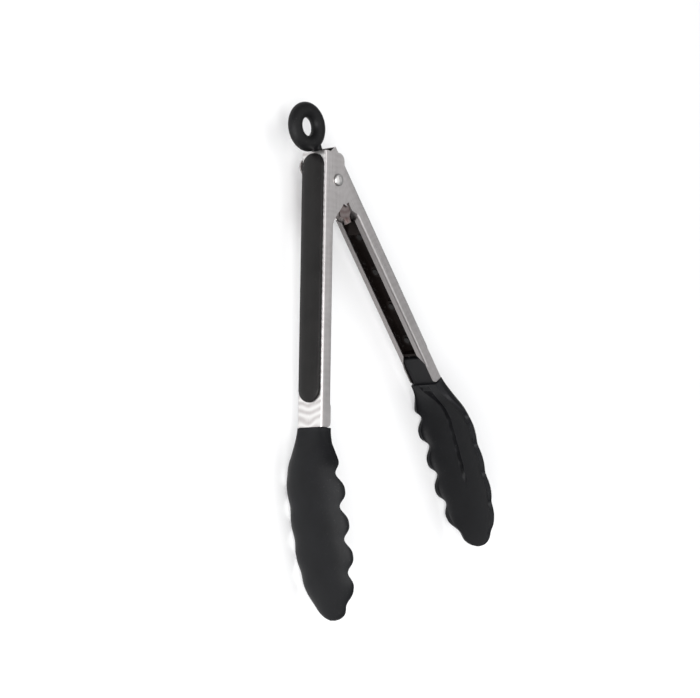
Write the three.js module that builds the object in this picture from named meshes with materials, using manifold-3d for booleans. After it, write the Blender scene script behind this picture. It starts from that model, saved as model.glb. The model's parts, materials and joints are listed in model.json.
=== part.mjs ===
// Spring loaded kitchen tongs: two lipped steel channels interleaved on a hinge rivet,
// a torsion spring that opens them, a sliding lock with a pull ring, soft grips on the
// webs and silicone covered scalloped heads.
//
// Each arm is drawn in its own frame with the rivet at the origin: x points inward to the
// other arm, y up to the ring, z along the rivet. Millimetres throughout.
import * as THREE from 'three';
import { mergeVertices } from 'three/addons/utils/BufferGeometryUtils.js';
import Module from 'manifold-3d';

const wasm = await Module();
wasm.setup();

// Pose at rest
const OPEN_ANGLE = 38.3;
const LOCK_LEAN = 26.5;

// Steel channel
const SHEET = 0.8;
const CHANNEL_WIDTH = 20;
const STAGGER = 0.55;
const WEB_REACH = 12.2;
const ARM_TOP = 17.3;
const CHANNEL_END = 155;
const FLANGE_DEPTH = 8.5;
const WEB_BEND = 1.2;
const LIP_WIDTH = 4.4;
const LIP_START = 28.5;
const LIP_END = 133;
const LIP_RUNOUT = 8;
const FLANGE_END_ROUND = 3;
const LIP_SLANT = 3;

// Hinge ears
const EAR_REACH = 5.7;
const EAR_CORNER = 5;
const EAR_STRAIGHT_END = 14.4;
const EAR_SLOPE_END = 26.4;
const INNER_EAR_STRAIGHT_END = 11.8;
const INNER_EAR_TOP_END = -0.4;
const INNER_EAR_STOP_END = 10.1;

// Hinge rivet and bush
const SHANK_RADIUS = 2.4;
const RIVET_HEAD_RADIUS = 3.9;
const RIVET_HEAD_HEIGHT = 1.6;
const BUSH_RADIUS = 3.9;
const BUSH_HALF_LENGTH = 7;
const CLEARANCE = 0.3;

// Torsion spring
const WIRE_RADIUS = 0.8;
const COIL_RADIUS = 5.05;
const COIL_TURNS = 5;
const COIL_HALF_LENGTH = 5.6;
const LEG_LENGTH = 26;

// Sliding lock
const BRACKET_INNER = 7.3;
const BRACKET_SHEET = 1;
const BRACKET_HALF_WIDTH = 5;
const BRACKET_SHOULDER = 6;
const BRACKET_NECK = 12.6;
const BRACKET_TOP = 17.6;
const NECK_FRONT = -1.7;
const NECK_REAR = 3.3;
const BRIDGE_EDGE = 0.5;
const BRACKET_FOOT = 28.5;
const FOOT_HALF_WIDTH = 2.8;
const FOOT_STEP = 22.5;
const FOOT_SLANT = 2;
const LOCK_TRAVEL = 8;
const TAB_DROP = 26.5;
const TAB_HEIGHT = 3;
const TAB_THICKNESS = 1;
const TAB_REACH = 9.4;
const FAR_TAB_OFFSET = -1.8;
const NOTCH_HALF_WIDTH = 1.05;

// Pull ring
const RING_RADIUS = 10.65;
const RING_HALF_BAND = 4.95;
const RING_HALF_THICKNESS = 4.1;
const RING_RISE = 36.9;
const RING_OFFSET = -2.2;
const POST_HALF_DEPTH = 3.4;
const ANCHOR_HALF_DEPTH = 6.6;
const ANCHOR_BOTTOM = 11;

// Grips
const GRIP_WIDTH = 17.2;
const GRIP_THICKNESS = 2.2;
const GRIP_TOP = 16.2;
const GRIP_END = 139.8;
const GRIP_BEVEL = 0.7;
const STUD_RADIUS = 2;
const STUD_DROPS = [45, 71, 97, 123];
const CARRIER_TOP = 34;
const CARRIER_END = 133.5;
const CARRIER_DEPTH = 3.2;
const CARRIER_RIB = 1.4;
const CARRIER_WALL = 1.6;
const CARRIER_SLOPE = 6;
const BOSS_RADIUS = 4;
const TANG_TOP = 136.3;
const TANG_DEPTH = 6.3;
const TANG_SIDE = 8.5;

// Head
const HEAD_LENGTH = 118;
const HEAD_HALF_WIDTH = 23.4;
const NECK_HALF_WIDTH = 11.2;
const FLARE_END = 0.28;
const TAPER_START = 0.57;
const TAPER_POWER = 2.6;
const RIM_LINE = [-3.3, -5.9, -2.2, 2.9, 8.4, 13.6];
const DEPTH_LINE = [9.5, 10.6, 10.1, 9.1, 7.4, 3.2];
const NECK_SQUARENESS = 0.3;
const NECK_ROUND_END = 0.2;
const NECK_FLOOR = 0.2;
const NECK_END = 0.3;
const NECK_RIM = 1.2;
const TIP_HALF_WIDTH = 0.4;
const WALL = 3.2;
const RIM_THICKNESS = 2.8;
const NOTCH_FIRST = 184;
const NOTCH_PITCH = 19.9;
const NOTCH_COUNT = 5;
const NOTCH_TRIM = 21;
const NOTCH_POINT = 1.4;
const NOTCH_PINCH = 0.05;
const CORE_INSET = 1.4;
const CORE_THICKNESS = 1.2;
const CORE_REACH = 0.8;
const CORE_SPREAD = 62;
const CORE_END_ROOM = 14;
const CORE_ROOT_INSET = 0.75;
const CORE_ROOT_EXTRA = 2;
const CORE_ROOT_END = 0.25;

// Tools that cut right through reach this much past what they cut
const PAST = 1;

const radians = THREE.MathUtils.degToRad;
const point = (x, y) => new THREE.Vector2(x, y);

// A closed geometry as a solid that can be joined and cut.
function solid(geometry) {
  const bare = geometry.clone();
  bare.deleteAttribute('normal');
  bare.deleteAttribute('uv');
  const merged = mergeVertices(bare, 1e-4);
  return new wasm.Manifold(new wasm.Mesh({
    numProp: 3,
    vertProperties: new Float32Array(merged.attributes.position.array),
    triVerts: new Uint32Array(merged.index.array),
  }));
}

// A solid as a three.js geometry again.
function geometryOf(body) {
  const mesh = body.getMesh();
  const geometry = new THREE.BufferGeometry();
  geometry.setAttribute('position', new THREE.BufferAttribute(new Float32Array(mesh.vertProperties), 3));
  geometry.setIndex(new THREE.BufferAttribute(new Uint32Array(mesh.triVerts), 1));
  geometry.computeVertexNormals();
  return geometry;
}

// A block between two corners.
function block(x0, x1, y0, y1, z0, z1) {
  const geometry = new THREE.BoxGeometry(x1 - x0, y1 - y0, z1 - z0);
  geometry.translate((x0 + x1) / 2, (y0 + y1) / 2, (z0 + z1) / 2);
  return solid(geometry);
}

// An outline in x and y, drawn out along z.
function slab(outline, z0, z1) {
  const shape = Array.isArray(outline) ? new THREE.Shape(outline.map(([x, y]) => point(x, y))) : outline;
  const geometry = new THREE.ExtrudeGeometry(shape, {
    depth: z1 - z0,
    bevelEnabled: false,
    curveSegments: 6,
  });
  geometry.translate(0, 0, z0);
  return solid(geometry);
}

// A round bar along z.
function barZ(x, y, radius, z0, z1, sides = 24) {
  const geometry = new THREE.CylinderGeometry(radius, radius, z1 - z0, sides);
  geometry.rotateX(Math.PI / 2);
  geometry.translate(x, y, (z0 + z1) / 2);
  return solid(geometry);
}

// A round bar along x.
function barX(y, z, radius, x0, x1, sides = 16) {
  const geometry = new THREE.CylinderGeometry(radius, radius, x1 - x0, sides);
  geometry.rotateZ(Math.PI / 2);
  geometry.translate((x0 + x1) / 2, y, z);
  return solid(geometry);
}

// Adds a rounded corner of the given radius to a path that is heading from one point to the next.
function roundCorner(shape, from, corner, to, radius) {
  const start = new THREE.Vector2().subVectors(from, corner).setLength(radius).add(corner);
  const end = new THREE.Vector2().subVectors(to, corner).setLength(radius).add(corner);
  shape.lineTo(start.x, start.y);
  shape.quadraticCurveTo(corner.x, corner.y, end.x, end.y);
}

const webIn = -WEB_REACH + SHEET;
const flangeEdge = -WEB_REACH + FLANGE_DEPTH;
const halfWidth = CHANNEL_WIDTH / 2;
const headStart = CLEARANCE / HEAD_LENGTH;

// The side outline that both flanges share below the ears.
function sideOutline(earPath) {
  const shape = new THREE.Shape();
  shape.moveTo(-WEB_REACH, ARM_TOP);
  shape.lineTo(-WEB_REACH, -CHANNEL_END);
  const end = point(flangeEdge, -CHANNEL_END);
  roundCorner(shape, point(-WEB_REACH, -CHANNEL_END), end, point(flangeEdge, 0), FLANGE_END_ROUND);
  shape.lineTo(flangeEdge, -EAR_SLOPE_END);
  earPath(shape);
  shape.closePath();
  return shape;
}

function outerEar(shape) {
  shape.lineTo(EAR_REACH, -EAR_STRAIGHT_END);
  roundCorner(shape, point(EAR_REACH, 0), point(EAR_REACH, ARM_TOP), point(0, ARM_TOP), EAR_CORNER);
}

function innerEar(shape) {
  shape.lineTo(EAR_REACH, -INNER_EAR_STRAIGHT_END);
  shape.lineTo(EAR_REACH, INNER_EAR_STOP_END);
  shape.lineTo(INNER_EAR_TOP_END, ARM_TOP);
}

// The channel's section with its two rounded web corners, drawn along the arm.
function channelSection(reach) {
  const outer = new THREE.Shape();
  const web = -WEB_REACH;
  outer.moveTo(reach, -halfWidth);
  outer.lineTo(reach, -halfWidth + SHEET);
  roundCorner(outer, point(reach, -halfWidth + SHEET), point(webIn, -halfWidth + SHEET),
    point(webIn, 0), WEB_BEND - SHEET);
  roundCorner(outer, point(webIn, 0), point(webIn, halfWidth - SHEET),
    point(reach, halfWidth - SHEET), WEB_BEND - SHEET);
  outer.lineTo(reach, halfWidth - SHEET);
  outer.lineTo(reach, halfWidth);
  roundCorner(outer, point(reach, halfWidth), point(web, halfWidth), point(web, 0), WEB_BEND);
  roundCorner(outer, point(web, 0), point(web, -halfWidth), point(reach, -halfWidth), WEB_BEND);
  outer.closePath();
  return outer;
}

function channelStock() {
  const geometry = new THREE.ExtrudeGeometry(channelSection(EAR_REACH + PAST), {
    depth: ARM_TOP + CHANNEL_END,
    bevelEnabled: false,
    curveSegments: 3,
  });
  geometry.rotateX(-Math.PI / 2);
  geometry.translate(0, -CHANNEL_END, 0);
  return solid(geometry);
}

// One lip: the flange's edge folded inward, running out to nothing near the head.
function lip(side) {
  const flangeIn = side * (halfWidth - SHEET / 2);
  const lipIn = side * (halfWidth - LIP_WIDTH);
  const outline = [
    [-LIP_START, flangeIn],
    [-LIP_START - LIP_SLANT, lipIn],
    [-LIP_END, lipIn],
    [-LIP_END - LIP_RUNOUT, flangeIn],
  ];
  const shape = new THREE.Shape(outline.map(([along, across]) => point(along, across)));
  const geometry = new THREE.ExtrudeGeometry(shape, { depth: SHEET, bevelEnabled: false });
  // drawn with x along the arm and y across it, then turned into the arm's frame
  const turn = new THREE.Matrix4().makeBasis(
    new THREE.Vector3(0, 1, 0), new THREE.Vector3(0, 0, 1), new THREE.Vector3(1, 0, 0));
  geometry.applyMatrix4(turn);
  geometry.translate(flangeEdge - SHEET, 0, 0);
  return solid(geometry);
}

// The lower end of the inner ear holds the notch that the lock's tab enters.
function lockNotch() {
  const top = -(TAB_DROP - LOCK_TRAVEL - TAB_HEIGHT / 2) + CLEARANCE;
  return block(-NOTCH_HALF_WIDTH, NOTCH_HALF_WIDTH, -EAR_SLOPE_END, top,
    -halfWidth - PAST, -halfWidth + SHEET + PAST);
}

// One channel in its own frame, its outer ear on the +z side.
function channel() {
  const outside = slab(sideOutline(outerEar), 0, halfWidth + PAST);
  const inside = slab(sideOutline(innerEar), -halfWidth - PAST, 0);
  let body = channelStock().intersect(outside.add(inside));
  body = body.add(lip(1)).add(lip(-1));
  body = body.subtract(barZ(0, 0, SHANK_RADIUS + CLEARANCE, -halfWidth - PAST, halfWidth + PAST));
  body = body.subtract(lockNotch());
  for (const drop of STUD_DROPS) {
    body = body.subtract(barX(-drop, 0, STUD_RADIUS + CLEARANCE, -WEB_REACH - PAST, webIn + PAST));
  }
  return body;
}

// The soft grip on the web's outer face, with studs that reach through the web.
function gripPad() {
  const radius = GRIP_WIDTH / 2;
  const inner = radius - GRIP_BEVEL;
  const shape = new THREE.Shape();
  shape.absarc(GRIP_TOP - radius, 0, inner, -Math.PI / 2, Math.PI / 2, false);
  shape.absarc(-GRIP_END + radius, 0, inner, Math.PI / 2, 1.5 * Math.PI, false);
  shape.closePath();
  const geometry = new THREE.ExtrudeGeometry(shape, {
    depth: GRIP_THICKNESS - GRIP_BEVEL,
    bevelThickness: GRIP_BEVEL,
    bevelSize: GRIP_BEVEL,
    bevelSegments: 1,
    curveSegments: 8,
  });
  const turn = new THREE.Matrix4().makeBasis(
    new THREE.Vector3(0, 1, 0), new THREE.Vector3(0, 0, -1), new THREE.Vector3(-1, 0, 0));
  geometry.applyMatrix4(turn);
  geometry.translate(-WEB_REACH - CLEARANCE, 0, 0);
  const cut = block(-WEB_REACH - CLEARANCE, 0, -CHANNEL_END, ARM_TOP, -halfWidth, halfWidth);
  let body = solid(geometry).subtract(cut);
  for (const drop of STUD_DROPS) {
    body = body.add(barX(-drop, 0, STUD_RADIUS, -WEB_REACH - PAST, webIn + CARRIER_DEPTH));
  }
  return body;
}

// The hard tray inside the channel that takes the grip's studs.
function gripCarrier() {
  const back = webIn + CLEARANCE;
  const side = halfWidth - SHEET - CLEARANCE;
  const wallTop = flangeEdge - SHEET - CLEARANCE;
  let body = slab([
    [back, -CARRIER_TOP],
    [back, -CARRIER_END],
    [wallTop, -CARRIER_END],
    [wallTop, -CARRIER_TOP - CARRIER_SLOPE],
    [back + CARRIER_DEPTH, -CARRIER_TOP],
  ], -side + WEB_BEND / 2, side - WEB_BEND / 2);
  const roomSide = side - WEB_BEND / 2 - CARRIER_WALL;
  const room = block(back + CARRIER_RIB, wallTop + PAST, -CARRIER_END + CARRIER_WALL, -CARRIER_TOP + PAST,
    -roomSide, roomSide);
  const bosses = STUD_DROPS
    .map((drop) => barX(-drop, 0, BOSS_RADIUS, back, back + CARRIER_DEPTH))
    .reduce((joined, boss) => joined.add(boss));
  body = body.subtract(room).add(bosses);
  for (const drop of STUD_DROPS) {
    body = body.subtract(barX(-drop, 0, STUD_RADIUS + CLEARANCE, back - PAST, back + CARRIER_DEPTH + PAST));
  }
  return body;
}

// A value that runs smoothly through evenly spaced stations along the head.
function along(stations, s) {
  const curve = new THREE.SplineCurve(stations.map((value, i) => point(i, value)));
  return curve.getPoint(THREE.MathUtils.clamp(s, 0, 1)).y;
}

// How deep the rim is notched: 1 at the points between the scallops, 0 at their tops.
function notchDepth(s) {
  const step = (CHANNEL_END + HEAD_LENGTH * s - NOTCH_FIRST) / NOTCH_PITCH;
  const notched = step > -0.5 && step < NOTCH_COUNT - 0.5;
  return notched ? (0.5 + 0.5 * Math.cos(2 * Math.PI * step)) ** NOTCH_POINT : 0;
}

function headWidth(s) {
  const flare = THREE.MathUtils.smoothstep(s, 0, FLARE_END);
  const taper = THREE.MathUtils.clamp((s - TAPER_START) / (1 - TAPER_START), 0, 0.999);
  const width = NECK_HALF_WIDTH + (HEAD_HALF_WIDTH - NECK_HALF_WIDTH) * flare;
  return width * Math.sqrt(1 - taper ** TAPER_POWER) * (1 - NOTCH_PINCH * notchDepth(s));
}

// How far round its wall the rim reaches, in degrees from the back.
function rimAngle(s) {
  return 90 - NOTCH_TRIM * notchDepth(s);
}

// A point on the head's trough, inset from its outer skin.
function troughPoint(s, angle, insetDepth, insetWidth) {
  const rounding = THREE.MathUtils.smoothstep(s, 0, NECK_ROUND_END);
  const squareness = THREE.MathUtils.lerp(NECK_SQUARENESS, 1, rounding);
  const cos = Math.abs(Math.cos(angle)) ** squareness;
  const sin = Math.sign(angle) * Math.abs(Math.sin(angle)) ** squareness;
  const width = Math.max(headWidth(s) - insetWidth, TIP_HALF_WIDTH);
  return point(along(RIM_LINE, s) - (along(DEPTH_LINE, s) - insetDepth) * cos, width * sin);
}

// A body drawn along the head: section(s, part) walks once round the section, part from 0 to 1.
function loft(from, to, rings, sides, section) {
  const geometry = new THREE.CylinderGeometry(1, 1, 1, sides, rings);
  const position = geometry.attributes.position;
  for (let i = 0; i < position.count; i += 1) {
    const x = position.getX(i);
    const z = position.getZ(i);
    const t = 0.5 - position.getY(i);
    const eased = t * (1 + 0.5 * (1 - t));
    const s = THREE.MathUtils.lerp(from, to, eased);
    const part = ((Math.atan2(x, z) / (2 * Math.PI)) + 1) % 1;
    const centre = Math.hypot(x, z) < 0.5;
    const place = centre
      ? section(s, 0.25).add(section(s, 0.75)).multiplyScalar(0.5)
      : section(s, Math.round(part * sides) / sides);
    position.setXYZ(i, place.x, -CHANNEL_END - HEAD_LENGTH * s, place.y);
  }
  return solid(geometry);
}

// Walks over the inner skin from the near rim to the far rim, and back over the outer skin.
function troughSection(reach, outer, inner, rim) {
  return (s, part) => {
    const limit = radians(reach(s));
    if (part <= 0.5) {
      return troughPoint(s, limit * (1 - 4 * part), inner(s), rim(s));
    }
    return troughPoint(s, limit * (4 * part - 3), outer(s), outer(s));
  };
}

function wallDepth(s) {
  const neck = along(DEPTH_LINE, 0);
  return THREE.MathUtils.lerp(neck - NECK_FLOOR, WALL, THREE.MathUtils.smoothstep(s, 0, NECK_END));
}

// How far the tongue lies under the head's outer skin: deeper at its root.
function coreInset(s) {
  return CORE_INSET + CORE_ROOT_INSET * (1 - THREE.MathUtils.smoothstep(s, 0, CORE_ROOT_END));
}

// The hard tongue inside the sleeve, and the same shape with room round it.
function tongue(room) {
  const root = (s) => CORE_ROOT_EXTRA * (1 - THREE.MathUtils.smoothstep(s, 0, CORE_ROOT_END));
  const section = troughSection(
    () => CORE_SPREAD + room * CORE_END_ROOM,
    (s) => coreInset(s) - room,
    (s) => coreInset(s) + CORE_THICKNESS + room + root(s),
    (s) => coreInset(s) + CORE_THICKNESS,
  );
  return loft(-3 * headStart, CORE_REACH, 14, 16, section);
}

function headSleeve() {
  const growth = (s) => THREE.MathUtils.smoothstep(s, 0, NECK_END);
  const rim = (s) => THREE.MathUtils.lerp(NECK_RIM, RIM_THICKNESS, growth(s));
  const section = troughSection(rimAngle, () => 0, wallDepth, rim);
  const pocket = tongue(CLEARANCE);
  return loft(headStart, 1, 36, 24, section).subtract(pocket.add(pocket.translate(0, -CLEARANCE, 0)));
}

function headCore() {
  const back = webIn + CLEARANCE;
  const tang = block(back, back + TANG_DEPTH, -CHANNEL_END + CLEARANCE, -TANG_TOP, -TANG_SIDE, TANG_SIDE);
  return tang.add(tongue(0));
}

// Rivet with a domed head on each side.
function hingeRivet() {
  const seat = halfWidth + STAGGER + CLEARANCE;
  const profile = [point(0, -seat - RIVET_HEAD_HEIGHT)];
  for (let i = 1; i <= 4; i += 1) {
    const turn = (i / 4) * Math.PI / 2;
    profile.push(point(RIVET_HEAD_RADIUS * Math.sin(turn), -seat - RIVET_HEAD_HEIGHT * Math.cos(turn)));
  }
  profile.push(point(SHANK_RADIUS, -seat));
  const upper = profile.map((p) => point(p.x, -p.y)).reverse();
  const geometry = new THREE.LatheGeometry([...profile, ...upper], 24);
  geometry.rotateX(Math.PI / 2);
  return solid(geometry);
}

function springBush() {
  const tube = barZ(0, 0, BUSH_RADIUS, -BUSH_HALF_LENGTH, BUSH_HALF_LENGTH);
  const cutter = BUSH_HALF_LENGTH + PAST;
  return tube.subtract(barZ(0, 0, SHANK_RADIUS + CLEARANCE, -cutter, cutter));
}

// The coil and the two legs that press the webs apart, as one wire.
class SpringPath extends THREE.Curve {
  constructor(startAngle, endAngle) {
    super();
    this.startAngle = startAngle;
    this.endAngle = endAngle;
    this.sweep = endAngle - startAngle;
    this.coilLength = Math.abs(this.sweep) * COIL_RADIUS;
    this.total = this.coilLength + 2 * LEG_LENGTH;
  }

  onCoil(angle, height) {
    return new THREE.Vector3(COIL_RADIUS * Math.cos(angle), COIL_RADIUS * Math.sin(angle), height);
  }

  leg(angle, height, length, way) {
    const tangent = new THREE.Vector3(-Math.sin(angle), Math.cos(angle), 0).multiplyScalar(way * length);
    return this.onCoil(angle, height).add(tangent);
  }

  getPoint(t) {
    const run = t * this.total;
    if (run < LEG_LENGTH) {
      return this.leg(this.startAngle, -COIL_HALF_LENGTH, LEG_LENGTH - run, -1);
    }
    if (run > LEG_LENGTH + this.coilLength) {
      return this.leg(this.endAngle, COIL_HALF_LENGTH, run - LEG_LENGTH - this.coilLength, 1);
    }
    const part = (run - LEG_LENGTH) / this.coilLength;
    const height = THREE.MathUtils.lerp(-COIL_HALF_LENGTH, COIL_HALF_LENGTH, part);
    return this.onCoil(this.startAngle + this.sweep * part, height);
  }
}

function torsionSpring() {
  const wallGap = WEB_REACH - SHEET - WIRE_RADIUS - 2 * CLEARANCE - COIL_RADIUS;
  const splay = radians(OPEN_ANGLE / 2) + Math.asin(wallGap / LEG_LENGTH);
  const path = new SpringPath(splay, (2 * COIL_TURNS + 1) * Math.PI - splay);
  const circle = new THREE.Shape();
  circle.absarc(0, 0, WIRE_RADIUS, 0, 2 * Math.PI, false);
  const geometry = new THREE.ExtrudeGeometry(circle, {
    steps: 96,
    curveSegments: 4,
    bevelEnabled: false,
    extrudePath: path,
  });
  return solid(geometry);
}

// The folded steel slide: two slotted side plates under a bridge, each with a lock tab.
function lockBracket() {
  const outer = BRACKET_INNER + BRACKET_SHEET;
  const plate = [
    [NECK_FRONT, BRACKET_TOP],
    [NECK_FRONT, BRACKET_NECK],
    [-BRACKET_HALF_WIDTH, BRACKET_SHOULDER],
    [-BRACKET_HALF_WIDTH, -FOOT_STEP],
    [-FOOT_HALF_WIDTH, -FOOT_STEP - FOOT_SLANT],
    [-FOOT_HALF_WIDTH, -BRACKET_FOOT],
    [FOOT_HALF_WIDTH, -BRACKET_FOOT],
    [FOOT_HALF_WIDTH, -FOOT_STEP - FOOT_SLANT],
    [BRACKET_HALF_WIDTH, -FOOT_STEP],
    [BRACKET_HALF_WIDTH, BRACKET_SHOULDER],
    [NECK_REAR, BRACKET_NECK],
    [NECK_REAR, BRACKET_TOP],
  ];
  const slotRadius = SHANK_RADIUS + CLEARANCE;
  let body = slab(plate, -outer, outer);
  const past = outer + PAST;
  body = body.subtract(block(-past, past, -BRACKET_FOOT - PAST, BRACKET_TOP - BRACKET_SHEET,
    -BRACKET_INNER, BRACKET_INNER));
  body = body.subtract(block(NECK_FRONT + BRIDGE_EDGE, NECK_REAR - BRIDGE_EDGE, 0, BRACKET_TOP + PAST,
    -POST_HALF_DEPTH - CLEARANCE, POST_HALF_DEPTH + CLEARANCE));
  const slot = barZ(0, 0, slotRadius, -past, past)
    .add(barZ(0, -LOCK_TRAVEL, slotRadius, -past, past))
    .add(block(-slotRadius, slotRadius, -LOCK_TRAVEL, 0, -past, past));
  body = body.subtract(slot);
  const half = TAB_THICKNESS / 2;
  const low = -TAB_DROP - TAB_HEIGHT / 2;
  const high = -TAB_DROP + TAB_HEIGHT / 2;
  const root = outer - BRACKET_SHEET / 2;
  const nearTab = block(-half, half, low, high, root, TAB_REACH);
  const farTab = block(FAR_TAB_OFFSET - half, FAR_TAB_OFFSET + half, low, high, -TAB_REACH, -root);
  return body.add(nearTab).add(farTab);
}

// Moulded ring with a post that is cast through the bracket's bridge.
function pullRing() {
  const profile = new THREE.Shape();
  profile.absellipse(RING_RADIUS, 0, RING_HALF_BAND, RING_HALF_THICKNESS, 0, 2 * Math.PI, false);
  const section = profile.getPoints(7).slice(0, -1);
  const geometry = new THREE.LatheGeometry([...section, section[0]], 32);
  geometry.rotateX(Math.PI / 2);
  geometry.translate(RING_OFFSET, RING_RISE, 0);
  const ring = solid(geometry);
  const front = NECK_FRONT + BRIDGE_EDGE + CLEARANCE;
  const rear = NECK_REAR - BRIDGE_EDGE - CLEARANCE;
  const bridge = BRACKET_TOP - BRACKET_SHEET - CLEARANCE;
  const post = block(front, rear, ANCHOR_BOTTOM, RING_RISE - RING_RADIUS, -POST_HALF_DEPTH, POST_HALF_DEPTH);
  const anchor = block(front, rear, ANCHOR_BOTTOM, bridge, -ANCHOR_HALF_DEPTH, ANCHOR_HALF_DEPTH);
  return ring.add(post).add(anchor);
}

const steel = { color: 0x9c9895, metalness: 1, roughness: 0.34 };
const gripRubber = { color: 0x2b2a2b, metalness: 0, roughness: 0.62 };
const nylon = { color: 0x2c2c2f, metalness: 0, roughness: 0.5 };
const silicone = { color: 0x26272c, metalness: 0, roughness: 0.7 };
const bright = { color: 0xb4b0ad, metalness: 1, roughness: 0.25 };

// A named mesh with a material of its own.
function piece(name, body, finish) {
  const mesh = new THREE.Mesh(geometryOf(body), new THREE.MeshStandardMaterial(finish));
  mesh.name = name;
  return mesh;
}

// One arm: channel, grip, carrier and head; the rear arm is the same arm turned about its length.
function arm(side) {
  const group = new THREE.Group();
  const body = new THREE.Group();
  body.position.z = STAGGER;
  body.add(
    piece(`${side}_channel`, channel(), steel),
    piece(`${side}_grip_pad`, gripPad(), gripRubber),
    piece(`${side}_grip_carrier`, gripCarrier(), nylon),
    piece(`${side}_head_core`, headCore(), nylon),
    piece(`${side}_head_sleeve`, headSleeve(), silicone),
  );
  group.add(body);
  return group;
}

const front = arm('front');
front.rotation.z = -radians(OPEN_ANGLE / 2);

const rear = new THREE.Group();
const rearTurned = arm('rear');
rearTurned.rotation.y = Math.PI;
rear.add(rearTurned);
rear.rotation.z = radians(OPEN_ANGLE / 2);

const hinge = new THREE.Group();
hinge.add(
  piece('hinge_rivet', hingeRivet(), bright),
  piece('spring_bush', springBush(), nylon),
  piece('torsion_spring', torsionSpring(), bright),
);

const lock = new THREE.Group();
lock.add(
  piece('lock_bracket', lockBracket(), bright),
  piece('pull_ring', pullRing(), nylon),
);
lock.rotation.z = radians(LOCK_LEAN - OPEN_ANGLE / 2);

// The whole tool lies on its side with the middle of its box over the origin.
const tongs = new THREE.Group();
tongs.add(front, rear, hinge, lock);
tongs.updateMatrixWorld(true);
const box = new THREE.Box3().setFromObject(tongs, true);
const middle = box.getCenter(new THREE.Vector3());
tongs.position.set(-middle.x, -middle.y, -box.min.z);

export default tongs;
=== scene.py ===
"""Spring loaded kitchen tongs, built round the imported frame.

Every piece of an arm is drawn in the arm's own frame, in millimetres: the rivet is the
origin, x points inward to the other arm, y up to the ring and z along the rivet. Then it is
laid on its arm, in metres, so that both arms share one set of makers.
"""

import json
import math

import bmesh
import bpy
from mathutils import Matrix, Vector


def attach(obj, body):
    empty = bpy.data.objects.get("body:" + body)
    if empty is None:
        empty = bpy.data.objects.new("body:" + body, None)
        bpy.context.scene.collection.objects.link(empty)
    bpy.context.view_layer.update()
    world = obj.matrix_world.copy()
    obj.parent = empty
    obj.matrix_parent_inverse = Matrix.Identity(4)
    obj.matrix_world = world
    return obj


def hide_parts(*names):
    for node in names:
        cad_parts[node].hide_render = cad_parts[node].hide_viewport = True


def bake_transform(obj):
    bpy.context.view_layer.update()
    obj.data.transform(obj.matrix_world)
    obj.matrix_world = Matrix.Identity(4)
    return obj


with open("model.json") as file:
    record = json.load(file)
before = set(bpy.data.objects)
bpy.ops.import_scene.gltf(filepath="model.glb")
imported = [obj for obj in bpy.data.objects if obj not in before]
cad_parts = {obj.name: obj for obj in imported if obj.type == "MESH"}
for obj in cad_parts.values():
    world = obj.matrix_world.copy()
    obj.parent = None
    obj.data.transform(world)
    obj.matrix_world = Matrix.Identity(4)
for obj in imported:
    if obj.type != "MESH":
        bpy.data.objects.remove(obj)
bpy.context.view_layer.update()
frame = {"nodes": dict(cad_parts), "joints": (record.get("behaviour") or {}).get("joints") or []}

# --- sizes, in millimetres and degrees --------------------------------------------------
MM = 0.001
OPEN_ANGLE = 38.3
LOCK_LEAN = 26.5

SHEET = 0.8
STAGGER = 0.55
CLEARANCE = 0.3
EDGE_BREAK = 0.16
CHANNEL_HALF_WIDTH = 10.0
WEB = -12.2
ARM_TOP = 17.3
CHANNEL_END = -155.0
FLANGE_EDGE = -3.7
EAR_EDGE = 5.7
EAR_ROOT = -26.4
OUTER_EAR_CORNER = -14.4
INNER_EAR_CORNER = -11.8
INNER_EAR_STOP = (5.7, 10.1)
INNER_EAR_TOP = (-0.4, 17.3)
WEB_BEND = 1.2
LIP_BEND = 1.3
EAR_TOP_CORNER = 5.0
EAR_LOWER_CORNER = 1.6
CHANNEL_END_CORNER = 3.0
LIP_WIDTH = 4.4
LIP_TOP = -28.5
LIP_TOP_SLANT = 3.0
LIP_END = -141.0
LIP_END_SLANT = 8.0
NOTCH = ((-1.05, -26.9, -11.0), (1.05, -16.7, -8.2))

PAD_TOP = 16.2
PAD_END = -139.8
PAD_HALF_WIDTH = 8.6
PAD_BACK = -12.5
PAD_THICKNESS = 1.7
PAD_CROWN = ((1.0, 0.42), (1.4, 0.34), (1.6, 0.2), (1.6, 0.07))
PAD_EDGE = 1.5
STUD_DROPS = (-45, -71, -97, -123)
STUD_MIDDLE = -9.9
STUD_RADIUS = 2.0
STUD_LENGTH = 5.6

CARRIER_LOW = (-11.1, -133.5, -8.0)
CARRIER_HIGH = (-4.8, -34.0, 8.0)
CARRIER_SLOPE_FOOT = (-7.9, -34.0, 0)
CARRIER_SLOPE_NORMAL = (6.0, 3.1, 0)
CARRIER_WALL = 1.6
CARRIER_DEPTH = 4.6
CARRIER_EDGE = 0.35
BOSS_MIDDLE = -9.5
BOSS_RADIUS = 4.0
BOSS_HEIGHT = 3.2
TANG_LOW = (-11.1, -161.0, -8.5)
TANG_HIGH = (-4.8, -136.3, 8.5)
TANG_TIP = (1.1, 0.5)
TANG_DISH = (1.8, 0.5)
TANG_EDGE = 0.6

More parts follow.
